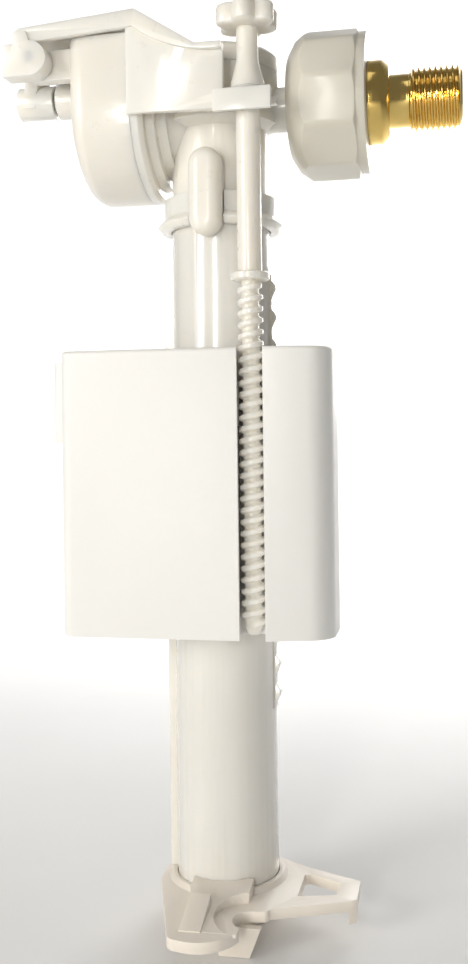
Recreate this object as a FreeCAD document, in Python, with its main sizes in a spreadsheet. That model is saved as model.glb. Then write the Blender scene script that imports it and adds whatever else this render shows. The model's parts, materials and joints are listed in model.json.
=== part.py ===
import FreeCAD, Part
import math
import os

V = FreeCAD.Vector
doc = FreeCAD.newDocument("fill_valve")

# ------------------------------------------------------------------ driving dimensions
DIMENSIONS = {
    "inlet_axis_z": 276.5,
    "inlet_thread_r": 10.4775,
    "inlet_thread_len": 17.4,
    "tail_bore_r": 6.0,
    "pipe_r": 7.5,
    "pipe_bore_r": 5.5,
    "drum_r": 29.5,
    "drum_seam_x": -24.0,
    "drum_face_x": -45.5,
    "drum_flat_z": 296.6,
    "chamber_r": 17.0,
    "head_r": 21.0,
    "column_r": 16.6,
    "cover_z": 288.5,
    "head_top_z": 295.0,
    "spigot_r": 14.6,
    "tube_top_r": 16.9,
    "tube_foot_r": 17.6,
    "tube_wall": 1.6,
    "tube_base_z": 10.6,
    "tube_top_z": 243.0,
    "rib_r": 20.3,
    "rack_r": 19.3,
    "rack_pitch": 9.9,
    "rack_teeth": 15,
    "rack_base_z": 71.0,
    "collar_base_z": 235.0,
    "collar_top_z": 246.0,
    "seal_ring_r": 14.2,
    "seal_ring_cord_r": 1.1,
    "seal_ring_z": 231.0,
    "downpipe_r": 8.9,
    "downpipe_wall": 1.3,
    "plate_base_z": 9.5,
    "plate_top_z": 13.0,
    "outlet_r": 13.5,
    "spindle_x": 15.0,
    "spindle_y": -27.0,
    "rod_r": 3.9,
    "thread_crest_r": 4.1,
    "thread_root_r": 2.75,
    "thread_pitch": 3.7,
    "thread_base_z": 104.0,
    "thread_top_z": 214.4,
    "groove_r": 2.8,
    "knob_r": 10.3,
    "knob_base_z": 295.0,
    "knob_top_z": 302.0,
    "pivot_x": -56.5,
    "pivot_z": 290.0,
    "pin_r": 1.5,
    "pilot_y": -8.0,
    "pilot_z": 282.4,
    "nut_left_x": 25.6,
    "nut_right_x": 51.8,
    "nut_r": 24.8,
    "nut_sides": 10,
    "float_base_z": 100.3,
    "float_top_z": 192.8,
    "float_left_x": -47.2,
    "float_right_x": 40.8,
    "float_front_y": -35.0,
    "float_side_y": -12.0,
    "float_wall": 2.0,
    "float_hole_r": 21.2,
    "slot_left_x": 11.7,
    "slot_right_x": 20.1,
    "clip_x": 14.6,
    "clip_y": -35.0,
    "clip_r": 6.0,
}
sheet = doc.addObject("Spreadsheet::Sheet", "sizes")
for row, (alias, value) in enumerate(DIMENSIONS.items(), start=1):
    sheet.set(f"A{row}", alias)
    sheet.set(f"B{row}", str(value))
    sheet.setAlias(f"B{row}", alias)
doc.recompute()


def size(alias):
    """The sheet's value of one driving dimension, in mm."""
    return float(sheet.get(alias))


AXIS_Z = size("inlet_axis_z")
SPINDLE = (size("spindle_x"), size("spindle_y"))


# ------------------------------------------------------------------ modelling helpers
def new_body(label):
    """A body named for its piece, in the shared frame."""
    body = doc.addObject("PartDesign::Body", label)
    body.Label = label
    body.Placement = FreeCAD.Placement(V(0, 0, 0), FreeCAD.Rotation())
    return body


def circle(x, y, r):
    return [Part.Circle(V(x, y, 0), V(0, 0, 1), r)]


def outline(points):
    """Closed straight-sided loop."""
    corners = [V(x, y, 0) for x, y in points]
    return [Part.LineSegment(a, b) for a, b in zip(corners, corners[1:] + corners[:1])]


def arc(a, m, b):
    """Arc from a to b through m."""
    return Part.Arc(V(*a, 0), V(*m, 0), V(*b, 0))


def line(a, b):
    return Part.LineSegment(V(*a, 0), V(*b, 0))


def rounded(x0, y0, x1, y1, r):
    """Rectangle with corner radius r."""
    k = r * (1 - math.sqrt(0.5))
    return [
        line((x0 + r, y0), (x1 - r, y0)),
        arc((x1 - r, y0), (x1 - k, y0 + k), (x1, y0 + r)),
        line((x1, y0 + r), (x1, y1 - r)),
        arc((x1, y1 - r), (x1 - k, y1 - k), (x1 - r, y1)),
        line((x1 - r, y1), (x0 + r, y1)),
        arc((x0 + r, y1), (x0 + k, y1 - k), (x0, y1 - r)),
        line((x0, y1 - r), (x0, y0 + r)),
        arc((x0, y0 + r), (x0 + k, y0 + k), (x0 + r, y0)),
    ]


def sketch(body, plane, offset, *loops):
    """Sketch on one of the body's origin planes, moved along the plane's normal."""
    flat = body.newObject("Sketcher::SketchObject", f"{body.Label}_sketch")
    support = [f for f in body.Origin.OriginFeatures if f.Role == plane][0]
    flat.AttachmentSupport = [(support, "")]
    flat.MapMode = "FlatFace"
    flat.AttachmentOffset = FreeCAD.Placement(V(0, 0, offset), FreeCAD.Rotation())
    for loop in loops:
        for edge in loop:
            flat.addGeometry(edge, False)
    return flat


def volume(body):
    doc.recompute()
    return body.Shape.Volume


def pad(body, flat, length, both=False):
    feature = body.newObject("PartDesign::Pad", f"{body.Label}_pad")
    feature.Profile = flat
    if isinstance(length, str):
        feature.setExpression("Length", length)
    else:
        feature.Length = length
    feature.Midplane = both
    volume(body)
    return feature


def cut(body, kind, flat, **settings):
    """A pocket or groove that must take material away."""
    before = volume(body)
    feature = body.newObject(f"PartDesign::{kind}", f"{body.Label}_{kind.lower()}")
    feature.Profile = flat
    for key, value in settings.items():
        setattr(feature, key, value)
    if volume(body) >= before - 1e-3:
        feature.Reversed = not feature.Reversed
    if volume(body) >= before - 1e-3:
        raise ValueError(f"{feature.Label} cuts nothing")
    return feature


def pocket(body, flat, length=None, both=False):
    if length is None:
        return cut(body, "Pocket", flat, Type=1, Midplane=both)
    return cut(body, "Pocket", flat, Length=length, Midplane=both)


def turn(body, flat, axis="V_Axis"):
    feature = body.newObject("PartDesign::Revolution", f"{body.Label}_turn")
    feature.Profile = flat
    feature.ReferenceAxis = (flat, [axis])
    feature.Angle = 360.0
    volume(body)
    return feature


def groove(body, flat, axis="V_Axis"):
    return cut(body, "Groove", flat, ReferenceAxis=(flat, [axis]), Angle=360.0)


def soften(body, kind, chosen, radius):
    """Fillet or Chamfer on the tip's edges that the test picks."""
    base = body.Tip
    names = [f"Edge{i}" for i, e in enumerate(base.Shape.Edges, start=1) if chosen(e)]
    if not names:
        raise ValueError(f"{body.Label} has no such edge")
    feature = body.newObject(f"PartDesign::{kind}", f"{body.Label}_{kind.lower()}")
    feature.Base = (base, names)
    if kind == "Fillet":
        feature.Radius = radius
    else:
        feature.Size = radius
    volume(body)
    if "Invalid" in feature.State:
        raise ValueError(f"{feature.Label} did not build")
    return feature


def turned(label, profile):
    """A piece made by turning one closed profile about the tube's axis."""
    body = new_body(label)
    turn(body, sketch(body, "XZ_Plane", 0, outline(profile)))
    return body


# ------------------------------------------------------------------ foot
foot = new_body("foot")
PLATE_Z, PLATE_TOP = size("plate_base_z"), size("plate_top_z")
OUTLET_R = size("outlet_r")
disc = sketch(foot, "XY_Plane", PLATE_Z, circle(0, 0, 22.3))
pad(foot, disc, "sizes.plate_top_z - sizes.plate_base_z")
pad(foot, sketch(foot, "XY_Plane", 0, circle(0, 0, 15.5)), 11.0)
CLIP_X, CLIP_Y, CLIP_R = size("clip_x"), size("clip_y"), size("clip_r")
plate_outline = [
    line((-8.0, 20.5), (-22.1, 2.0)),
    line((-22.1, 2.0), (-22.1, -8.1)),
    line((-22.1, -8.1), (-9.6, -47.8)),
    arc((-9.6, -47.8), (-8.2, -50.7), (-5.3, -51.9)),
    arc((-5.3, -51.9), (4.7, -51.3), (CLIP_X - 2.8, CLIP_Y - 7.0)),
    line((CLIP_X - 2.8, CLIP_Y - 7.0), (CLIP_X - 4.3, CLIP_Y - 4.2)),
    arc((CLIP_X - 4.3, CLIP_Y - 4.2), (CLIP_X - CLIP_R, CLIP_Y), (CLIP_X - 1.5, CLIP_Y + 5.8)),
    line((CLIP_X - 1.5, CLIP_Y + 5.8), (17.2, -28.4)),
    arc((17.2, -28.4), (18.3, -27.8), (18.8, -26.4)),
    line((18.8, -26.4), (30.2, -21.6)),
    line((30.2, -21.6), (43.6, -16.4)),
    line((43.6, -16.4), (45.7, -14.4)),
    line((45.7, -14.4), (45.6, 0.1)),
    line((45.6, 0.1), (26.2, 8.7)),
    line((26.2, 8.7), (8.0, 20.8)),
    line((8.0, 20.8), (-8.0, 20.5)),
]
pad(foot, sketch(foot, "XY_Plane", PLATE_Z, plate_outline), "sizes.plate_top_z - sizes.plate_base_z")
window = outline([(26.2, -15.2), (26.4, 1.8), (28.2, 3.0), (39.2, -2.8), (38.7, -12.4)])
pocket(foot, sketch(foot, "XY_Plane", PLATE_TOP, window), 8.0)
BURIED = PLATE_TOP - 1
gusset = outline([(-15, BURIED), (-15, 17.6), (-22, 16.6), (-45.6, PLATE_TOP + 0.1), (-45.6, BURIED)])
pad(foot, sketch(foot, "YZ_Plane", -8.4, gusset), 20.0)
trim = [line((-9, -55), (-1.4, -46.4)), line((-1.4, -46.4), (-9, -20)), line((-9, -20), (-9, -55))]
pocket(foot, sketch(foot, "XY_Plane", 20.0, trim), 20.0 - PLATE_TOP)
rib = outline([(-30.6, BURIED), (-30.6, 18.4), (-46.2, PLATE_TOP + 0.4), (-46.2, BURIED)])
pad(foot, sketch(foot, "YZ_Plane", -6.2, rib), 6.8)
pocket(foot, sketch(foot, "XY_Plane", 20.0, circle(CLIP_X, CLIP_Y, 2 * CLIP_R)), 20.0 - PLATE_TOP)
peg = outline([(2.6, PLATE_Z + 1), (3.4, 0), (13.4, 0), (17.4, PLATE_Z + 1)])
pad(foot, sketch(foot, "XZ_Plane", 30.6, peg), 2.6)
pocket(foot, sketch(foot, "XY_Plane", 20.0, circle(CLIP_X, CLIP_Y, CLIP_R + 0.25)), 20.0 - PLATE_Z)
end_tab = outline([(43.0, -16.0), (45.6, -14.2), (45.6, -10.6), (43.0, -10.6)])
pad(foot, sketch(foot, "XY_Plane", 5.3, end_tab), 6.0)
socket = outline([(17, BURIED), (17, PLATE_TOP + 1.6), (19.2, PLATE_TOP + 1.6), (21.4, BURIED)])
turn(foot, sketch(foot, "XZ_Plane", 0, socket))
pocket(foot, sketch(foot, "XY_Plane", -1.0, circle(0, 0, OUTLET_R)), 30.0)
pocket(foot, sketch(foot, "XY_Plane", PLATE_TOP + 8, circle(0, 0, 17.75)), 10.5)

# ------------------------------------------------------------------ outer tube
tube = new_body("outer_tube")
R_TOP, R_LOW, WALL = size("tube_top_r"), size("tube_foot_r"), size("tube_wall")
Z_LOW, Z_TOP = size("tube_base_z"), size("tube_top_z")
wall = [(R_LOW - WALL, Z_LOW), (R_LOW, Z_LOW), (R_TOP, Z_TOP), (R_TOP - WALL, Z_TOP)]
turn(tube, sketch(tube, "XZ_Plane", 0, outline(wall)))
rib = outline([(-size("rib_r"), -1.5), (-16.4, -1.5), (-16.4, 1.5), (-size("rib_r"), 1.5)])
pad(tube, sketch(tube, "XY_Plane", PLATE_TOP + 1.7, rib), 215.8)
RACK_Z, RACK_R = size("rack_base_z"), size("rack_r")
pad(tube, sketch(tube, "XY_Plane", RACK_Z, outline([(16.2, -2), (17.8, -2), (17.8, 2), (16.2, 2)])), 149.0)
ratchet = outline([(17.0, RACK_Z), (17.0, RACK_Z + 9.4), (RACK_R, RACK_Z + 6.4), (RACK_R, RACK_Z + 5.2)])
tooth = pad(tube, sketch(tube, "XZ_Plane", 0, ratchet), 4.0, both=True)
rack = tube.newObject("PartDesign::LinearPattern", "outer_tube_rack")
rack.Originals = [tooth]
rack.Direction = ([f for f in tube.Origin.OriginFeatures if f.Role == "Z_Axis"][0], [""])
rack.setExpression("Length", "sizes.rack_pitch * (sizes.rack_teeth - 1)")
rack.setExpression("Occurrences", "sizes.rack_teeth")
tube.Tip = rack
doc.recompute()

# ------------------------------------------------------------------ collar, seal ring, inner pipe
C_LOW, C_TOP = size("collar_base_z"), size("collar_top_z")
flange = [(17.3, C_LOW), (20.2, C_LOW), (21.7, C_LOW + 1.8), (21.7, C_LOW + 2.2), (19.5, C_LOW + 4.2)]
flange += [(19.5, C_TOP), (17.3, C_TOP)]
collar = turned("tube_collar", flange)
notch = outline([(-6.7, 230), (5.1, 230), (5.1, 250), (-6.7, 250)])
pocket(collar, sketch(collar, "XZ_Plane", 30.0, notch), 30.0)

o_ring = doc.addObject("Part::Torus", "tube_o_ring")
o_ring.Label = "tube_o_ring"
o_ring.Placement = FreeCAD.Placement(V(0, 0, 0), FreeCAD.Rotation())
o_ring.setExpression("Radius1", "sizes.seal_ring_r")
o_ring.setExpression("Radius2", "sizes.seal_ring_cord_r")
o_ring.setExpression("Placement.Base.z", "sizes.seal_ring_z")

PIPE_R = size("downpipe_r")
PIPE_BORE = PIPE_R - size("downpipe_wall")
pipe_wall = [(PIPE_BORE, 24.0), (PIPE_R, 24.0), (PIPE_R, 222.0), (10.4, 222.0), (10.4, 223.9)]
pipe_wall += [(PIPE_R, 223.9), (PIPE_R, 244.0), (PIPE_BORE, 244.0)]
downpipe = turned("inner_downpipe", pipe_wall)

# ------------------------------------------------------------------ head body
head = new_body("head_body")
HEAD_R, COLUMN_R, SPIGOT_R = size("head_r"), size("column_r"), size("spigot_r")
COVER_Z = size("cover_z")
stack = [(0, 224), (SPIGOT_R, 224), (SPIGOT_R, 243.3), (COLUMN_R, 243.3), (COLUMN_R, 268.8)]
stack += [(HEAD_R, 270.8), (HEAD_R, COVER_Z), (0, COVER_Z)]
turn(head, sketch(head, "XZ_Plane", 0, outline(stack)))
SEAM_X, DRUM_R = size("drum_seam_x"), size("drum_r")
FLAT_Z = size("drum_flat_z")
cone = [(SEAM_X, 0), (SEAM_X, DRUM_R), (-21.6, DRUM_R), (-20.2, 28.1), (-20.2, 25.6), (-17.4, 24.8)]
cone += [(-17.4, 21.8), (-14.2, 21.0), (-14.2, 19.0), (-9, 16.5), (-4, 14.5), (-4, 0)]


def drum_shoulders(body, x0, x1):
    """Squares off the upper half of the drum between two planes across the inlet axis."""
    upper = outline([(-DRUM_R, AXIS_Z), (DRUM_R, AXIS_Z), (DRUM_R, FLAT_Z), (-DRUM_R, FLAT_Z)])
    pad(body, sketch(body, "YZ_Plane", x0, upper), x1 - x0)


def about_inlet(body, points):
    """The points of a profile about the inlet axis, turned a full circle."""
    lifted = outline([(x, AXIS_Z + r) for x, r in points])
    flat = sketch(body, "XZ_Plane", 0, lifted)
    flat.addGeometry(Part.LineSegment(V(-80, AXIS_Z, 0), V(80, AXIS_Z, 0)), True)
    return flat, "Axis0"


turn(head, *about_inlet(head, cone))
drum_shoulders(head, SEAM_X, -21.6)
feed = [(-5, 0), (-5, size("pipe_r")), (33, size("pipe_r")), (33, 12), (36, 12), (36, 0)]
turn(head, *about_inlet(head, feed))
boss = [
    line((-6.4, 236.6), (-6.4, 254.4)),
    arc((-6.4, 254.4), (-0.8, 260.0), (4.8, 254.4)),
    line((4.8, 254.4), (4.8, 236.6)),
    arc((4.8, 236.6), (-0.8, 231.0), (-6.4, 236.6)),
]
pad(head, sketch(head, "XZ_Plane", 17.9, boss), 6.6)
boss_root = outline([(-6.4, 246.4), (4.8, 246.4), (4.8, 253), (-6.4, 253)])
pad(head, sketch(head, "XZ_Plane", 12.0, boss_root), 6.5)
soften(head, "Fillet", lambda e: abs(e.CenterOfMass.y + 24.5) < 0.1 and e.CenterOfMass.z < 262, 4.2)
above_flat = outline([(-30, FLAT_Z), (-14.2, FLAT_Z), (-14.2, COVER_Z), (0, COVER_Z), (0, 315), (-30, 315)])
pocket(head, sketch(head, "XZ_Plane", 0, above_flat), both=True)
CHAMBER_R = size("chamber_r")
BORE_R = size("pipe_bore_r")
groove(head, *about_inlet(head, [(SEAM_X - 1, 7.5), (SEAM_X - 1, CHAMBER_R), (-14, CHAMBER_R), (-14, 7.5)]))
groove(head, *about_inlet(head, [(SEAM_X - 1, 0), (SEAM_X - 1, 7.6), (-21, 7.6), (-21, 0)]))
groove(head, *about_inlet(head, [(-25, 0), (-25, BORE_R), (40, BORE_R), (40, 0)]))
pocket(head, sketch(head, "YZ_Plane", -2.0, circle(0, 264.6, 4.2)), 14.0)
pocket(head, sketch(head, "XY_Plane", 220.0, circle(0, 0, 9.0)), 46.0)
pocket(head, sketch(head, "XY_Plane", COVER_Z - 1, circle(0, 11.2, 2.8)), COVER_Z - 251.0)
pocket(head, sketch(head, "XY_Plane", COVER_Z, circle(0, 0, 17.5)), 4.0)
SEAL_Z = size("seal_ring_z")
seal_groove = outline([(13.0, SEAL_Z - 1.3), (16, SEAL_Z - 1.3), (16, SEAL_Z + 1.3), (13.0, SEAL_Z + 1.3)])
groove(head, sketch(head, "XZ_Plane", 0, seal_groove))

# ------------------------------------------------------------------ head cover and vent flap
HEAD_TOP = size("head_top_z")
dome = [(0, COVER_Z + 0.1), (HEAD_R, COVER_Z + 0.1), (HEAD_R, HEAD_TOP - 1.4), (HEAD_R - 1.4, HEAD_TOP)]
cover = turned("head_cover", dome + [(0, HEAD_TOP)])
lid_skirt = sketch(cover, "XY_Plane", HEAD_TOP - 2.4, circle(0, 0, 17.3))
pocket(cover, lid_skirt, HEAD_TOP - COVER_Z)
beside_drum = outline([(-25, -20), (-13.9, -20), (-13.9, 20), (-25, 20)])
pocket(cover, sketch(cover, "XY_Plane", HEAD_TOP + 1, beside_drum), 10.0)
for angle in range(-120, 121, 60):
    hole_x = 12.0 * math.cos(math.radians(angle))
    hole_y = 12.0 * math.sin(math.radians(angle))
    pocket(cover, sketch(cover, "XY_Plane", HEAD_TOP - 4, circle(hole_x, hole_y, 1.2)), 10.0)
flap_profile = [(0, 284.7), (16.6, 284.7), (16.6, 286.1), (2.6, 286.1), (2.6, 289.0), (0, 289.0)]
flap = turned("vent_flap", flap_profile)

# ------------------------------------------------------------------ diaphragm cap
cap = new_body("diaphragm_cap")
FACE_X = size("drum_face_x")
plan_of_drum = [
    line((DRUM_R, FLAT_Z), (DRUM_R, AXIS_Z)),
    arc((DRUM_R, AXIS_Z), (0, AXIS_Z - DRUM_R), (-DRUM_R, AXIS_Z)),
    line((-DRUM_R, AXIS_Z), (-DRUM_R, FLAT_Z)),
    line((-DRUM_R, FLAT_Z), (DRUM_R, FLAT_Z)),
]
pad(cap, sketch(cap, "YZ_Plane", FACE_X, plan_of_drum), SEAM_X - 0.1 - FACE_X)
soften(cap, "Fillet", lambda e: abs(e.CenterOfMass.x - FACE_X) < 0.01 and e.CenterOfMass.z < FLAT_Z - 1, 5.5)
PIVOT_X, PIVOT_Z = size("pivot_x"), size("pivot_z")
ear = [
    line((-44, 284.0), (PIVOT_X, 284.0)),
    arc((PIVOT_X, 284.0), (PIVOT_X - 5, 289.0), (PIVOT_X, 294.0)),
    line((PIVOT_X, 294.0), (-44, 294.0)),
    line((-44, 294.0), (-44, 284.0)),
]
for ear_y in (-21.5, 9.0):
    pad(cap, sketch(cap, "XZ_Plane", -ear_y, ear), 5.0)
PILOT_Y, PILOT_Z = size("pilot_y"), size("pilot_z")
pad(cap, sketch(cap, "YZ_Plane", -55.5, circle(PILOT_Y, PILOT_Z, 5.8)), 12.0)
pad(cap, sketch(cap, "YZ_Plane", -59.2, circle(PILOT_Y, PILOT_Z, 2.4)), 5.0)
groove(cap, *about_inlet(cap, [(-23, 0), (-23, CHAMBER_R), (-36, CHAMBER_R), (-38, 14), (-38, 0)]))
pocket(cap, sketch(cap, "YZ_Plane", -62.0, circle(PILOT_Y, PILOT_Z, 0.8)), 30.0)
pocket(cap, sketch(cap, "XZ_Plane", 0, circle(PIVOT_X, PIVOT_Z, size("pin_r") + 0.02)), both=True)

pin = new_body("lever_pivot_pin")
pad(pin, sketch(pin, "XZ_Plane", -15.6, circle(PIVOT_X, PIVOT_Z, size("pin_r"))), 48.8)

# ------------------------------------------------------------------ diaphragm set
diaphragm = new_body("diaphragm")
web = [(-24.05, 16.9), (-26.3, 16.9), (-26.3, 14.9), (-25.0, 14.0), (-27.0, 12.6), (-25.0, 11.2)]
web += [(-24.2, 10.4), (-24.2, 1.6), (-21.1, 1.6), (-21.1, 10.2), (-22.2, 11.6), (-24.2, 12.6)]
web += [(-22.4, 14.2), (-22.4, 16.9)]
turn(diaphragm, *about_inlet(diaphragm, web))
insert = new_body("diaphragm_insert")
plate = [(-27.6, 1.1), (-27.6, 9.6), (-24.25, 9.6), (-24.25, 1.55), (-20.4, 1.55), (-20.4, 1.1)]
turn(insert, *about_inlet(insert, plate))
bleed = new_body("bleed_pin")
wire = [(-37.9, 0), (-37.9, 1.9), (-36.9, 1.9), (-36.9, 0.55), (-19.6, 0.55), (-19.2, 0)]
turn(bleed, *about_inlet(bleed, wire))

# ------------------------------------------------------------------ lever
lever = new_body("lever")
LEVER_Y = -33.2
LID_X, LID_RIGHT = -62.0, -21.0
lid = outline([(LID_X, 297.3), (LID_RIGHT, 300.4), (LID_RIGHT, 302.6), (LID_X + 1.4, 299.5), (LID_X, 298.5)])
pad(lever, sketch(lever, "XZ_Plane", -16.0, lid), 49.2)
rim = outline([(LID_X, 294.4), (LID_RIGHT, 297.2), (LID_RIGHT, 302.5), (LID_X + 1.4, 299.5), (LID_X, 298.5)])
pad(lever, sketch(lever, "XZ_Plane", -LEVER_Y - 2.2, rim), 2.2)
rear_rim = outline([(LID_X, 294.4), (-47.5, 295.4), (-47.5, 300.4), (LID_X + 1.4, 299.4), (LID_X, 298.5)])
pad(lever, sketch(lever, "XZ_Plane", -16.0, rear_rim), 2.0)
side_wall = outline([(-24, -32.2), (-14, -32.2), (7.5, -30.6), (7.5, -28.2), (-14, -29.95), (-24, -29.95)])
pad(lever, sketch(lever, "XY_Plane", 269.2, side_wall), 33.0)
above_arm = outline([(LID_RIGHT, 302.6), (-1, 290.0), (12, 290.0), (12, 312), (LID_RIGHT, 312)])
pocket(lever, sketch(lever, "XZ_Plane", 40.0, above_arm), 20.0)
brow = [
    line((LID_RIGHT - 1, 302.5), (LID_RIGHT + 0.4, 302.4)),
    line((LID_RIGHT + 0.4, 302.4), (-1, 289.9)),
    line((-1, 289.9), (7.4, 289.9)),
    line((7.4, 289.9), (7.4, 288.0)),
    arc((7.4, 288.0), (-9, 290.2), (LID_RIGHT - 1, 297.4)),
    line((LID_RIGHT - 1, 297.4), (LID_RIGHT - 1, 302.5)),
]
pad(lever, sketch(lever, "XZ_Plane", 30.5, brow), -LEVER_Y - 30.5)
fork = [
    line((5, -34.6), (23.5, -34.6)),
    line((23.5, -34.6), (23.5, -31.5)),
    line((23.5, -31.5), (13.6, -31.5)),
    arc((13.6, -31.5), (9.1, -27.0), (13.6, -22.5)),
    line((13.6, -22.5), (23.5, -22.5)),
    line((23.5, -22.5), (23.5, -20.4)),
    line((23.5, -20.4), (9, -20.4)),
    line((9, -20.4), (5, -24)),
    line((5, -24), (5, -34.6)),
]
pad(lever, sketch(lever, "XY_Plane", 271.8, fork), 2.4)
lip = outline([(5, 267.3), (23.5, 267.3), (23.5, 274.2), (5, 274.2)])
pad(lever, sketch(lever, "XZ_Plane", 33.1, lip), 1.5)
cheek = [
    line((-65.6, 283.6), (PIVOT_X, 283.6)),
    arc((PIVOT_X, 283.6), (PIVOT_X + 5.7, 289.3), (PIVOT_X, 295.0)),
    line((PIVOT_X, 295.0), (-57.5, 298.2)),
    line((-57.5, 298.2), (-61.9, 298.2)),
    line((-61.9, 298.2), (-62.1, 294.4)),
    line((-62.1, 294.4), (-65.6, 294.0)),
    line((-65.6, 294.0), (-65.6, 283.6)),
]
pad(lever, sketch(lever, "XZ_Plane", 27.2, cheek), 7.0)
pad(lever, sketch(lever, "XZ_Plane", -16.0, cheek), 6.3)
tongue = outline([(-66.6, 279.5), (-62.9, 279.5), (-60.4, 298.2), (-62.4, 298.2), (-66.6, 292)])
pad(lever, sketch(lever, "XZ_Plane", 2.6, tongue), 10.8)
pad(lever, sketch(lever, "YZ_Plane", -69.6, circle(PILOT_Y, PILOT_Z, 5.6)), 12.9)
pocket(lever, sketch(lever, "YZ_Plane", -56.0, circle(PILOT_Y, PILOT_Z, 4.0)), 7.4)
pin_hole = sketch(lever, "XZ_Plane", -LEVER_Y + 0.1, circle(PIVOT_X, PIVOT_Z, size("pin_r") + 0.06))
pocket(lever, pin_hole, 60.0)

seal = new_body("pilot_seal")
pad(seal, sketch(seal, "YZ_Plane", -63.35, circle(PILOT_Y, PILOT_Z, 3.95)), 3.4)

# ------------------------------------------------------------------ spindle and its bush
def on_spindle(label):
    """A body whose origin is on the spindle's axis."""
    body = new_body(label)
    body.setExpression("Placement.Base.x", "sizes.spindle_x")
    body.setExpression("Placement.Base.y", "sizes.spindle_y")
    return body


spindle = on_spindle("adjusting_spindle")
ROD_R, ROOT_R = size("rod_r"), size("thread_root_r")
T_LOW, T_TOP, PITCH = size("thread_base_z"), size("thread_top_z"), size("thread_pitch")
KNOB_Z, KNOB_TOP = size("knob_base_z"), size("knob_top_z")
LOBES = 6
shank = [(0, 101), (1.6, 101), (ROOT_R, 103.5), (ROOT_R, T_TOP), (6.35, T_TOP), (6.35, T_TOP + 2.5)]
shank += [(ROD_R, T_TOP + 2.5), (ROD_R, 270.5), (size("groove_r"), 270.5), (size("groove_r"), 275.5)]
shank += [(5.35, 275.5), (5.35, 278.2), (3.5, 285), (3.5, KNOB_Z), (6.4, KNOB_Z), (7.6, KNOB_Z + 1.2)]
shank += [(7.6, KNOB_TOP - 0.8), (6.8, KNOB_TOP), (0, KNOB_TOP)]
turn(spindle, sketch(spindle, "XZ_Plane", 0, outline(shank)))
for step in range(LOBES):
    angle = math.radians(30 + step * 360.0 / LOBES)
    lobe = circle(7.1 * math.cos(angle), 7.1 * math.sin(angle), size("knob_r") - 7.1)
    pad(spindle, sketch(spindle, "XY_Plane", KNOB_Z + 0.3, lobe), KNOB_TOP - KNOB_Z - 0.6)
CREST_R = size("thread_crest_r")
ridge = [(ROOT_R - 0.3, T_LOW), (CREST_R, T_LOW + 0.8), (CREST_R, T_LOW + 1.6), (ROOT_R - 0.3, T_LOW + 2.4)]
thread = spindle.newObject("PartDesign::AdditiveHelix", "adjusting_spindle_thread")
ridge_sketch = sketch(spindle, "XZ_Plane", 0, outline(ridge))
thread.Profile = ridge_sketch
thread.ReferenceAxis = (ridge_sketch, ["V_Axis"])
thread.Mode = 0
thread.setExpression("Pitch", "sizes.thread_pitch")
thread.setExpression("Height", "sizes.thread_top_z - sizes.thread_base_z - 3.4")
before_thread = spindle.Shape.Volume
if volume(spindle) <= before_thread:
    raise ValueError("the spindle's thread adds nothing")

bush = on_spindle("spindle_bush")
spool = [(2.85, 270.7), (6.0, 270.7), (6.0, 271.2), (4.2, 271.2), (4.2, 274.8), (6.0, 274.8)]
spool += [(6.0, 275.3), (2.85, 275.3)]
turn(bush, sketch(bush, "XZ_Plane", 0, outline(spool)))

# ------------------------------------------------------------------ float
F_LOW, F_TOP = size("float_base_z"), size("float_top_z")
F_X0, F_X1 = size("float_left_x"), size("float_right_x")
F_Y0, SIDE_Y = size("float_front_y"), size("float_side_y")
F_WALL, HOLE_R = size("float_wall"), size("float_hole_r")
SLOT_X0, SLOT_X1 = size("slot_left_x"), size("slot_right_x")
CHANNEL_X0, CHANNEL_X1, SLOT_BACK = 10.2, 19.8, -22.3


def float_ring(inset):
    """C-shaped plan of the float's inside: round the sleeve, open where the slot is."""
    x0, x1 = F_X0 + F_WALL + inset, F_X1 - F_WALL - inset
    y0 = F_Y0 + F_WALL + inset
    left, right = CHANNEL_X0 - 1.8 - inset, CHANNEL_X1 + 1.8 + inset
    r = HOLE_R + 1.6 + inset
    left_y, right_y = -math.sqrt(r * r - left * left), -math.sqrt(r * r - right * right)
    return [
        line((left, y0), (x0 + 4, y0)),
        arc((x0 + 4, y0), (x0 + 1.17, y0 + 1.17), (x0, y0 + 4)),
        line((x0, y0 + 4), (x0, SIDE_Y)),
        arc((x0, SIDE_Y), ((x0 + x1) / 2, SIDE_Y + (x1 - x0) / 2), (x1, SIDE_Y)),
        line((x1, SIDE_Y), (x1, y0 + 10.6)),
        arc((x1, y0 + 10.6), (x1 - 1.6, y0 + 6.1), (x1 - 5.4, y0 + 3.2)),
        line((x1 - 5.4, y0 + 3.2), (right, y0 + 0.4)),
        line((right, y0 + 0.4), (right, right_y)),
        arc((right, right_y), (0, r), (left, left_y)),
        line((left, left_y), (left, y0)),
    ]


shell = new_body("float_shell")
plan = [
    line((F_X0 + 4, F_Y0), (SLOT_X1, F_Y0)),
    line((SLOT_X1, F_Y0), (F_X1 - 7.6, F_Y0 + 3.2)),
    arc((F_X1 - 7.6, F_Y0 + 3.2), (F_X1 - 2.1, F_Y0 + 6.7), (F_X1, F_Y0 + 12.6)),
    line((F_X1, F_Y0 + 12.6), (F_X1, SIDE_Y)),
    arc((F_X1, SIDE_Y), ((F_X0 + F_X1) / 2, SIDE_Y + (F_X1 - F_X0) / 2), (F_X0, SIDE_Y)),
    line((F_X0, SIDE_Y), (F_X0, F_Y0 + 4)),
    arc((F_X0, F_Y0 + 4), (F_X0 + 1.17, F_Y0 + 1.17), (F_X0 + 4, F_Y0)),
]
pad(shell, sketch(shell, "XY_Plane", F_LOW, plan), "sizes.float_top_z - sizes.float_base_z")
pad(shell, sketch(shell, "XY_Plane", 162.8, rounded(-59, -9, -40, 9, 2.0)), 28.0)
soften(shell, "Fillet", lambda e: abs(e.CenterOfMass.z - F_TOP) < 0.01, 1.2)
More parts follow.
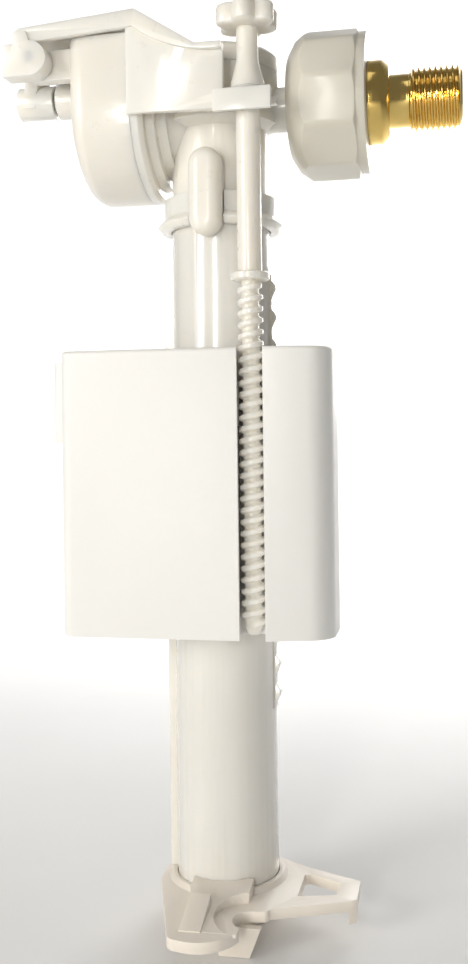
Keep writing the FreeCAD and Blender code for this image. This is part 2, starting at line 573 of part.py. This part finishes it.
pocket(shell, sketch(shell, "XY_Plane", F_LOW - 1, float_ring(0)), F_TOP - F_WALL - F_LOW + 1)
pocket(shell, sketch(shell, "XY_Plane", F_LOW - 1, circle(0, 0, HOLE_R)), 120.0)
slot = outline([
    (SLOT_X0, -40),
    (SLOT_X1, -40),
    (SLOT_X1, -33.6),
    (CHANNEL_X1, -33.6),
    (CHANNEL_X1, SLOT_BACK),
    (CHANNEL_X0, SLOT_BACK),
    (CHANNEL_X0, -33.6),
    (SLOT_X0, -33.6),
])
pocket(shell, sketch(shell, "XY_Plane", F_LOW - 1, slot), 120.0)

float_base = new_body("float_base")
pad(float_base, sketch(float_base, "XY_Plane", F_LOW, float_ring(0.05)), 2.0)

saddle = new_body("float_nut")
N_X0, N_X1, N_BACK = CHANNEL_X0 + 0.05, CHANNEL_X1 - 0.05, SLOT_BACK - 0.05
block = outline([(N_X0, SPINDLE[1]), (N_X1, SPINDLE[1]), (N_X1, N_BACK), (N_X0, N_BACK)])
pad(saddle, sketch(saddle, "XY_Plane", 168.0, block), 14.0)
pocket(saddle, sketch(saddle, "XY_Plane", 160.0, circle(*SPINDLE, CREST_R + 0.08)), 30.0)

# ------------------------------------------------------------------ inlet union
nut = new_body("union_nut")
NUT_L, NUT_R = size("nut_left_x"), size("nut_right_x")
NUT_OUT, SIDES = size("nut_r"), int(size("nut_sides"))
flats = []
for step in range(SIDES):
    angle = 2 * math.pi * step / SIDES + math.radians(28.5)
    flats.append((NUT_OUT * math.cos(angle), AXIS_Z + NUT_OUT * math.sin(angle)))
pad(nut, sketch(nut, "YZ_Plane", NUT_L, outline(flats)), "sizes.nut_right_x - sizes.nut_left_x")
soften(nut, "Fillet", lambda e: abs(e.CenterOfMass.x - (NUT_L + NUT_R) / 2) < 0.1, 4.0)
crown = [(NUT_L - 1, 17.5), (NUT_L, 17.5), (NUT_L + 2.6, 21.8), (NUT_L + 7.0, 24.9), (NUT_L + 7.0, 30)]
groove(nut, *about_inlet(nut, crown + [(NUT_L - 1, 30)]))
rim_of_nut = [(NUT_R + 1, 23.2), (NUT_R - 2.9, 23.2), (NUT_R - 3.9, 24.9), (NUT_R - 3.9, 30), (NUT_R + 1, 30)]
groove(nut, *about_inlet(nut, rim_of_nut))
flange_of_nut = [(NUT_R - 3.0, 20.0), (NUT_R - 3.0, 23.2), (NUT_R - 0.5, 23.2), (NUT_R, 22.7), (NUT_R, 20.0)]
turn(nut, *about_inlet(nut, flange_of_nut))
inside = [(NUT_L - 1, 0), (NUT_L - 1, 7.6), (32.9, 7.6), (32.9, 13.6), (NUT_R + 1, 13.6), (NUT_R + 1, 0)]
groove(nut, *about_inlet(nut, inside))

THREAD_R, TAIL_BORE = size("inlet_thread_r"), size("tail_bore_r")
tail = new_body("brass_tail")
THREAD_X = 65.2
TAIL_END = THREAD_X + size("inlet_thread_len")
tail_profile = [(38.6, TAIL_BORE), (38.6, 13.5), (51.9, 13.5), (51.9, 13.8), (56.4, 13.8), (58.9, 11.6)]
tail_profile += [(58.9, 8.75), (THREAD_X, 8.75), (THREAD_X, THREAD_R), (TAIL_END, THREAD_R)]
tail_profile += [(TAIL_END, TAIL_BORE)]
turn(tail, *about_inlet(tail, tail_profile))
washer = new_body("tail_washer")
turn(washer, *about_inlet(washer, [(36.05, 5.8), (36.05, 12.6), (38.55, 12.6), (38.55, 5.8)]))
restrictor = new_body("flow_restrictor")
turn(restrictor, *about_inlet(restrictor, [(26, 1.6), (26, 5.45), (30, 5.45), (30, 4.0), (28, 1.6)]))
strainer = new_body("inlet_strainer")
basket = [(60, 0), (60, 4.4), (78.5, 5.2), (78.5, 5.95), (80.5, 5.95), (80.5, 4.5), (62, 3.5), (61.2, 0)]
turn(strainer, *about_inlet(strainer, basket))

# ------------------------------------------------------------------ write the pieces
doc.recompute()
pieces = [o for o in doc.Objects if o.TypeId in ("PartDesign::Body", "Part::Feature", "Part::Torus")]
bad = [o.Label for o in doc.Objects if "Invalid" in o.State or "Error" in o.State]
if bad:
    raise ValueError(f"these objects did not build: {bad}")
os.makedirs("parts", exist_ok=True)
for piece in pieces:
    if piece.Shape.isNull() or not piece.Shape.isValid():
        raise ValueError(f"{piece.Label} is not a valid solid")
    piece.Shape.exportStep(f"parts/{piece.Label}.step")
    print(piece.Label, len(piece.Shape.Solids), round(piece.Shape.Volume))
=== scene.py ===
import json
import math

import bmesh
import bpy
from mathutils import Matrix, Vector


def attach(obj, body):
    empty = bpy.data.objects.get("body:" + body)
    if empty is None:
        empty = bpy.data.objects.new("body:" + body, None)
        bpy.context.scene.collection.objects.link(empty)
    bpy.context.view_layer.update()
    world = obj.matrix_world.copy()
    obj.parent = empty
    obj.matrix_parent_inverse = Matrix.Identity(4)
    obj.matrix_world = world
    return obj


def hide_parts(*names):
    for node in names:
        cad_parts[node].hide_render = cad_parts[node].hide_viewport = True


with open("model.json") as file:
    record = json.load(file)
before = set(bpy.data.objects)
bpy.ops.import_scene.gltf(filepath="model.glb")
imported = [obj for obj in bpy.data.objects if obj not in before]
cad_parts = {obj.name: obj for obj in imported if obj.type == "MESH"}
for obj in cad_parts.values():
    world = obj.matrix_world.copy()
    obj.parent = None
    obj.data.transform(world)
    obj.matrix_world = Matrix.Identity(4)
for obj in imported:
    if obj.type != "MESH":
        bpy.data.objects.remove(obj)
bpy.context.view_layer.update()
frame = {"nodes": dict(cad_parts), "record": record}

MM = 0.001
MOULD_TEXTURE = 0.00003  # metres, height of the mould's fine texture
WALL_RIPPLE = 0.00005  # metres, height of the slow ripple in a moulded wall
MERGE_WITHIN = 1e-6  # metres
FLAT_WITHIN = 0.6  # degrees, faces this close in angle are one face
EDGE_ANGLE = 28  # degrees, sharper edges are rounded
EDGE_SEGMENTS = 3
SMOOTH_BELOW = 42  # degrees
LAMP_WHITE = (1.0, 0.98, 0.935)


# ------------------------------------------------------------------ materials
def new_material(name):
    """A Principled material, with its node tree and the object's own coordinates."""
    mat = bpy.data.materials.new(name)
    mat.use_nodes = True
    nodes, links = mat.node_tree.nodes, mat.node_tree.links
    shader = nodes["Principled BSDF"]
    place = nodes.new("ShaderNodeTexCoord")
    return mat, nodes, links, shader, place.outputs["Object"]


def noise(nodes, links, where, scale, detail=3.0, rough=0.55, squash=(1, 1, 1)):
    """Noise of one scale in the object's own frame, per metre, squashed along an axis if asked."""
    texture = nodes.new("ShaderNodeTexNoise")
    texture.inputs["Scale"].default_value = scale
    texture.inputs["Detail"].default_value = detail
    texture.inputs["Roughness"].default_value = rough
    mapping = nodes.new("ShaderNodeMapping")
    mapping.inputs["Scale"].default_value = squash
    links.new(where, mapping.inputs["Vector"])
    links.new(mapping.outputs["Vector"], texture.inputs["Vector"])
    return texture.outputs["Fac"]


def ramp(nodes, links, factor, stops):
    node = nodes.new("ShaderNodeValToRGB")
    while len(node.color_ramp.elements) < len(stops):
        node.color_ramp.elements.new(0.5)
    for element, (position, color) in zip(node.color_ramp.elements, stops):
        element.position = position
        element.color = (*color, 1.0)
    links.new(factor, node.inputs["Fac"])
    return node.outputs["Color"]


def grey(value):
    return (value, value, value)


def bump(nodes, links, height, distance, strength=1.0, below=None):
    node = nodes.new("ShaderNodeBump")
    node.inputs["Distance"].default_value = distance
    node.inputs["Strength"].default_value = strength
    links.new(height, node.inputs["Height"])
    if below is not None:
        links.new(below, node.inputs["Normal"])
    return node.outputs["Normal"]


def moulded_plastic(name, light, dark, rough, milky=0.0, depth=2.0, coat=0.0):
    """Injection-moulded plastic: slow flow marks in the colour, faint ripple, fine mould texture."""
    mat, nodes, links, shader, where = new_material(name)
    flow = noise(nodes, links, where, 26.0, 2.0, 0.45, (1.0, 1.0, 0.35))
    links.new(ramp(nodes, links, flow, [(0.15, dark), (0.85, light)]), shader.inputs["Base Color"])
    gloss = noise(nodes, links, where, 260.0, 3.0)
    low, high = rough - 0.03, rough + 0.05
    links.new(ramp(nodes, links, gloss, [(0.30, grey(low)), (0.75, grey(high))]), shader.inputs["Roughness"])
    ripple = bump(nodes, links, noise(nodes, links, where, 45.0, 0.0, 0.4), WALL_RIPPLE, 0.4)
    grain = bump(nodes, links, noise(nodes, links, where, 2300.0, 2.0), MOULD_TEXTURE, 1.0, ripple)
    links.new(grain, shader.inputs["Normal"])
    shader.inputs["IOR"].default_value = 1.48
    shader.inputs["Subsurface Weight"].default_value = milky
    shader.inputs["Subsurface Radius"].default_value = (1.0, 0.92, 0.80)
    shader.inputs["Subsurface Scale"].default_value = depth * MM
    shader.inputs["Coat Weight"].default_value = coat
    shader.inputs["Coat Roughness"].default_value = 0.11
    return mat


def turned_brass(name):
    """Lathe-turned brass: fine rings round the inlet axis, soft tarnish."""
    mat, nodes, links, shader, where = new_material(name)
    stain = noise(nodes, links, where, 70.0, 4.0, 0.55)
    tones = [(0.25, (0.70, 0.48, 0.14)), (0.55, (0.83, 0.60, 0.20)), (0.85, (0.90, 0.70, 0.28))]
    links.new(ramp(nodes, links, stain, tones), shader.inputs["Base Color"])
    rings = noise(nodes, links, where, 900.0, 2.0, 0.5, (3.0, 0.05, 0.05))
    links.new(ramp(nodes, links, rings, [(0.3, grey(0.10)), (0.75, grey(0.21))]), shader.inputs["Roughness"])
    links.new(bump(nodes, links, rings, 0.00002), shader.inputs["Normal"])
    shader.inputs["Metallic"].default_value = 1.0
    return mat


def drawn_steel(name):
    """Bright steel wire, streaked along its length."""
    mat, nodes, links, shader, where = new_material(name)
    streak = noise(nodes, links, where, 1500.0, 2.0, 0.5, (1.0, 0.05, 1.0))
    links.new(ramp(nodes, links, streak, [(0.3, grey(0.46)), (0.7, grey(0.66))]), shader.inputs["Base Color"])
    links.new(ramp(nodes, links, streak, [(0.3, grey(0.22)), (0.7, grey(0.38))]), shader.inputs["Roughness"])
    shader.inputs["Metallic"].default_value = 1.0
    return mat


def soft_rubber(name):
    """Black seal rubber with a faint grey bloom."""
    mat, nodes, links, shader, where = new_material(name)
    bloom = noise(nodes, links, where, 300.0, 5.0)
    links.new(ramp(nodes, links, bloom, [(0.3, grey(0.018)), (0.8, grey(0.05))]), shader.inputs["Base Color"])
    links.new(ramp(nodes, links, bloom, [(0.3, grey(0.55)), (0.8, grey(0.78))]), shader.inputs["Roughness"])
    links.new(bump(nodes, links, noise(nodes, links, where, 2600.0, 2.0), 0.00003), shader.inputs["Normal"])
    return mat


MATERIALS = {
    "natural_plastic": moulded_plastic(
        "natural_acetal", (0.87, 0.84, 0.775), (0.81, 0.78, 0.715), 0.30, 0.85, 4.5, coat=0.35
    ),
    "nut_plastic": moulded_plastic(
        "milky_nylon", (0.72, 0.69, 0.61), (0.64, 0.61, 0.53), 0.34, 0.8, 3.5, coat=0.15
    ),
    "tube_plastic": moulded_plastic(
        "translucent_tube", (0.86, 0.83, 0.77), (0.80, 0.77, 0.71), 0.22, 0.6, 3.0, coat=0.9
    ),
    "white_plastic": moulded_plastic("opaque_white", (0.88, 0.87, 0.84), (0.85, 0.84, 0.81), 0.42, 0.2, 1.0),
    "foot_plastic": moulded_plastic("cream_plastic", (0.90, 0.835, 0.75), (0.85, 0.78, 0.69), 0.40, 0.3, 1.0),
    "strainer_plastic": moulded_plastic("strainer_nylon", (0.68, 0.69, 0.67), (0.60, 0.61, 0.59), 0.5),
    "black_rubber": soft_rubber("black_rubber"),
    "brass": turned_brass("turned_brass"),
    "steel": drawn_steel("drawn_steel"),
}
SLOT_OF = {entry["node"]: entry["material_slot"] for entry in frame["record"]["subparts"]}
BODY_OF = {
    node: body for body, members in frame["record"]["behaviour"]["bodies"].items() for node in members
}


def dress(obj, slot_name):
    obj.data.materials.clear()
    obj.data.materials.append(MATERIALS[slot_name])


# ------------------------------------------------------------------ pieces refined from the frame
def add_piece(mesh, name, node):
    """Puts a finished mesh in the place of one CAD node."""
    obj = bpy.data.objects.new(name, mesh)
    bpy.context.scene.collection.objects.link(obj)
    dress(obj, SLOT_OF[node])
    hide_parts(node)
    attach(obj, BODY_OF[node])
    return obj


def moulded(node, width):
    """A moulding with its edges rounded: the node's own faces, joined up and bevelled."""
    bm = bmesh.new()
    bm.from_mesh(frame["nodes"][node].data)
    bmesh.ops.remove_doubles(bm, verts=bm.verts, dist=MERGE_WITHIN)
    bmesh.ops.dissolve_limit(
        bm,
        angle_limit=math.radians(FLAT_WITHIN),
        verts=bm.verts,
        edges=bm.edges,
        use_dissolve_boundaries=False,
    )
    mesh = bpy.data.meshes.new(node + "_moulding")
    bm.to_mesh(mesh)
    bm.free()
    for polygon in mesh.polygons:
        polygon.use_smooth = True
    obj = add_piece(mesh, node + "_moulding", node)
    round_off = obj.modifiers.new("rounded_edges", "BEVEL")
    round_off.width = width * MM
    round_off.segments = EDGE_SEGMENTS
    round_off.limit_method = "ANGLE"
    round_off.angle_limit = math.radians(EDGE_ANGLE)
    round_off.harden_normals = True
    round_off.miter_outer = "MITER_ARC"


EDGE_RADII = {
    "foot": 0.35,
    "outer_tube": 0.25,
    "tube_collar": 0.3,
    "head_body": 0.45,
    "head_cover": 0.3,
    "diaphragm_cap": 0.5,
    "lever": 0.45,
    "float_shell": 0.6,
    "union_nut": 1.3,
}
for node_name, radius in EDGE_RADII.items():
    moulded(node_name, radius)


# ------------------------------------------------------------------ turned and threaded pieces
def skin_over(name, rings, closed=False):
    """Skin over rings of points in mm; closed joins the last ring to the first, else the ends are capped."""
    bm = bmesh.new()
    rows = [[bm.verts.new(Vector(point) * MM) for point in ring] for ring in rings]
    count = len(rows[0])
    following = rows[1:] + rows[:1] if closed else rows[1:]
    for low, high in zip(rows, following):
        for i in range(count):
            j = (i + 1) % count
            bm.faces.new((low[i], low[j], high[j], high[i]))
    if not closed:
        bm.faces.new(rows[0])
        bm.faces.new(rows[-1])
    bmesh.ops.recalc_face_normals(bm, faces=bm.faces)
    mesh = bpy.data.meshes.new(name)
    bm.to_mesh(mesh)
    bm.free()
    for polygon in mesh.polygons:
        polygon.use_smooth = True
    mesh.set_sharp_from_angle(angle=math.radians(SMOOTH_BELOW))
    return mesh


def angles(count):
    return [2 * math.pi * i / count for i in range(count)]


def rounded_hump(along, pitch, foot, crest):
    """Height 0 to 1 of a ridge whose flanks take up foot and whose top takes up crest of each pitch."""
    offset = along % pitch
    if offset > 2 * foot + crest:
        return 0.0
    rise = min(offset, 2 * foot + crest - offset) / foot
    return 0.5 - 0.5 * math.cos(math.pi * min(rise, 1.0))


def brass_tail_mesh():
    """Inlet tail: collar, neck, relief and a parallel pipe thread of 14 turns to the inch."""
    axis_z, crest, pitch = 276.5, 10.47, 25.4 / 14
    root = crest - 0.64 * pitch
    start, end, bore, relief = 65.2, 82.6, 6.0, 8.75
    flank, top = 0.62, 0.30
    profile = [(38.6, bore), (38.6, 13.3), (38.8, 13.5), (51.6, 13.5), (51.9, 13.8), (56.2, 13.8)]
    profile += [(56.6, 13.6), (58.7, 11.8), (58.9, 11.4), (58.9, 9.0), (59.2, relief), (start, relief)]
    steps = 100
    for i in range(steps + 1):
        profile.append((start + 0.1 + (end - start - 0.5) * i / steps, None))
    profile += [(end, 8.6), (end, bore + 0.5), (end - 0.5, bore)]
    rings = []
    for x, radius in profile:
        ring = []
        for angle in angles(96):
            r = radius
            if r is None:
                run = min((x - start) / 0.9, (end - x) / 1.3, 1.0)
                tall = rounded_hump(x - pitch * angle / (2 * math.pi), pitch, flank, top)
                r = relief + run * (root - relief) + run * (crest - root) * tall
            ring.append((x, r * math.cos(angle), axis_z + r * math.sin(angle)))
        rings.append(ring)
    return skin_over("brass_tail_turned", rings, closed=True)


def spindle_mesh():
    """Adjusting spindle: coarse rounded screw, collar, rod, neck for the bush and a lobed knob."""
    centre_x, centre_y = 15.0, -27.0
    root, crest, pitch, low, run = 2.75, 4.1, 3.7, 104.0, 107.0
    flank, top, sides, steps = 0.8, 1.1, 72, 330
    plain = [(101.0, 0.9), (101.2, 1.6), (103.5, root)]
    turns = [(103.6 + (214.2 - 103.6) * i / steps, None) for i in range(steps + 1)]
    above = [(214.4, root), (214.4, 5.9), (214.8, 6.35), (216.5, 6.35), (216.9, 5.9), (216.9, 3.9)]
    above += [(270.2, 3.9), (270.5, 3.6), (270.5, 2.8), (275.5, 2.8), (275.5, 4.9), (275.9, 5.35)]
    above += [(277.8, 5.35), (278.3, 5.1), (281.8, 4.2), (284.6, 3.6), (286.0, 3.5), (295.0, 3.5)]
    rings = []
    for z, radius in plain + turns + above:
        ring = []
        for angle in angles(sides):
            r = radius
            if r is None:
                climb = z - low - pitch * angle / (2 * math.pi)
                base = climb - climb % pitch + pitch * angle / (2 * math.pi)
                fade = max(0.0, min(1.0, base / 1.5 + 1.0, (run - base) / 1.5 + 1.0))
                r = root + (crest - root) * fade * rounded_hump(climb, pitch, flank, top)
            ring.append((centre_x + r * math.cos(angle), centre_y + r * math.sin(angle), z))
        rings.append(ring)
    edge = [(295.0, 2.2), (295.1, 0.9), (295.6, 0.15), (296.2, 0.0), (300.6, 0.0), (301.3, 0.25)]
    edge += [(301.8, 0.9), (302.0, 1.9), (301.9, 3.4), (301.4, 4.4)]
    for z, inset in edge:
        ring = []
        for angle in angles(sides):
            lobe = (0.5 + 0.5 * math.cos(6 * (angle - math.pi / 6))) ** 0.6
            r = 7.7 + 2.6 * lobe * max(0.0, 1.0 - inset / 5.0) - inset
            ring.append((centre_x + r * math.cos(angle), centre_y + r * math.sin(angle), z))
        rings.append(ring)
    return skin_over("adjusting_spindle_turned", rings)


add_piece(brass_tail_mesh(), "brass_tail_turned", "brass_tail")
add_piece(spindle_mesh(), "adjusting_spindle_turned", "adjusting_spindle")
for node_name, node in frame["nodes"].items():
    dress(node, SLOT_OF[node_name])


# ------------------------------------------------------------------ floor, lights, camera
def look_from(position, forward, roll):
    """Camera matrix looking level along forward, rolled clockwise by an angle."""
    f = Vector(forward).normalized()
    right = f.cross(Vector((0, 0, 1))).normalized()
    up = right.cross(f)
    r = right * math.cos(roll) - up * math.sin(roll)
    u = right * math.sin(roll) + up * math.cos(roll)
    m = Matrix((r, u, -f)).transposed().to_4x4()
    m.translation = Vector(position)
    return m


FOCAL_PIXELS, FRAME_PIXELS, SENSOR_MM = 1060.0, 964.0, 36.0
azimuth = math.radians(11.5)
distance, eye_height, side_step = 0.369, 0.165, 0.0036
forward = Vector((-math.sin(azimuth), math.cos(azimuth), 0))
right = Vector((math.cos(azimuth), math.sin(azimuth), 0))
eye = -forward * distance + right * side_step
eye.z = eye_height
camera_data = bpy.data.cameras.new("camera")
camera = bpy.data.objects.new("camera", camera_data)
bpy.context.scene.collection.objects.link(camera)
camera.matrix_world = look_from(eye, forward, math.radians(0.7))
camera_data.sensor_fit = "VERTICAL"
camera_data.sensor_height = SENSOR_MM
camera_data.lens = FOCAL_PIXELS / FRAME_PIXELS * SENSOR_MM
camera_data.shift_y = -0.0488
camera_data.clip_start = 0.01
bpy.context.scene.camera = camera


def backdrop():
    """Pale floor that sweeps up into a wall behind the object."""
    front, bend, radius, wall, height, half_width, steps = -1.6, 0.55, 0.5, 1.05, 2.6, 2.4, 12
    profile = [(front, 0.0), (bend, 0.0)]
    for step in range(1, steps + 1):
        turn = math.radians(90.0 * step / steps)
        profile.append((bend + radius * math.sin(turn), radius - radius * math.cos(turn)))
    profile.append((wall, height))
    bm = bmesh.new()
    rows = [[bm.verts.new((x, y, z - 0.0002)) for y, z in profile] for x in (-half_width, half_width)]
    for i in range(len(profile) - 1):
        bm.faces.new((rows[0][i], rows[1][i], rows[1][i + 1], rows[0][i + 1]))
    bmesh.ops.recalc_face_normals(bm, faces=bm.faces)
    mesh = bpy.data.meshes.new("backdrop")
    bm.to_mesh(mesh)
    bm.free()
    for polygon in mesh.polygons:
        polygon.use_smooth = True
    sweep = bpy.data.objects.new("backdrop", mesh)
    bpy.context.scene.collection.objects.link(sweep)
    mat, nodes, links, shader, where = new_material("pale_paper")
    tone = noise(nodes, links, where, 6.0)
    links.new(ramp(nodes, links, tone, [(0.3, grey(0.88)), (0.7, grey(0.92))]), shader.inputs["Base Color"])
    shader.inputs["Roughness"].default_value = 0.9
    mesh.materials.append(mat)


def area_light(name, position, target, size, power, color=(1, 1, 1)):
    data = bpy.data.lights.new(name, "AREA")
    data.shape = "RECTANGLE"
    data.size, data.size_y = size
    data.energy = power
    data.color = color
    lamp = bpy.data.objects.new(name, data)
    lamp.location = position
    lamp.rotation_euler = (Vector(target) - Vector(position)).to_track_quat("-Z", "Y").to_euler()
    lamp.visible_camera = False
    bpy.context.scene.collection.objects.link(lamp)


backdrop()
area_light("key", (-0.72, -0.82, 0.36), (0, 0, 0.16), (0.40, 0.55), 5.6, LAMP_WHITE)
area_light("front", (-0.06, -1.05, 0.24), (0, 0, 0.13), (0.10, 0.42), 3.4, LAMP_WHITE)
area_light("top", (-0.12, -0.45, 1.15), (0, -0.02, 0.1), (0.5, 0.5), 0.8, (1.0, 0.98, 0.94))
area_light("rear", (0.22, 0.85, 0.42), (0, 0, 0.17), (0.5, 0.5), 3.2, (1.0, 0.985, 0.955))
area_light("back_wash", (0.0, 0.40, 0.80), (0.0, 1.05, 0.45), (1.8, 0.5), 9.0)
world = bpy.data.worlds.new("studio")
world.use_nodes = True
room = world.node_tree.nodes["Background"]
room.inputs["Color"].default_value = (1, 0.98, 0.95, 1)
room.inputs["Strength"].default_value = 0.18
bpy.context.scene.world = world
bpy.context.scene.view_settings.view_transform = "Standard"
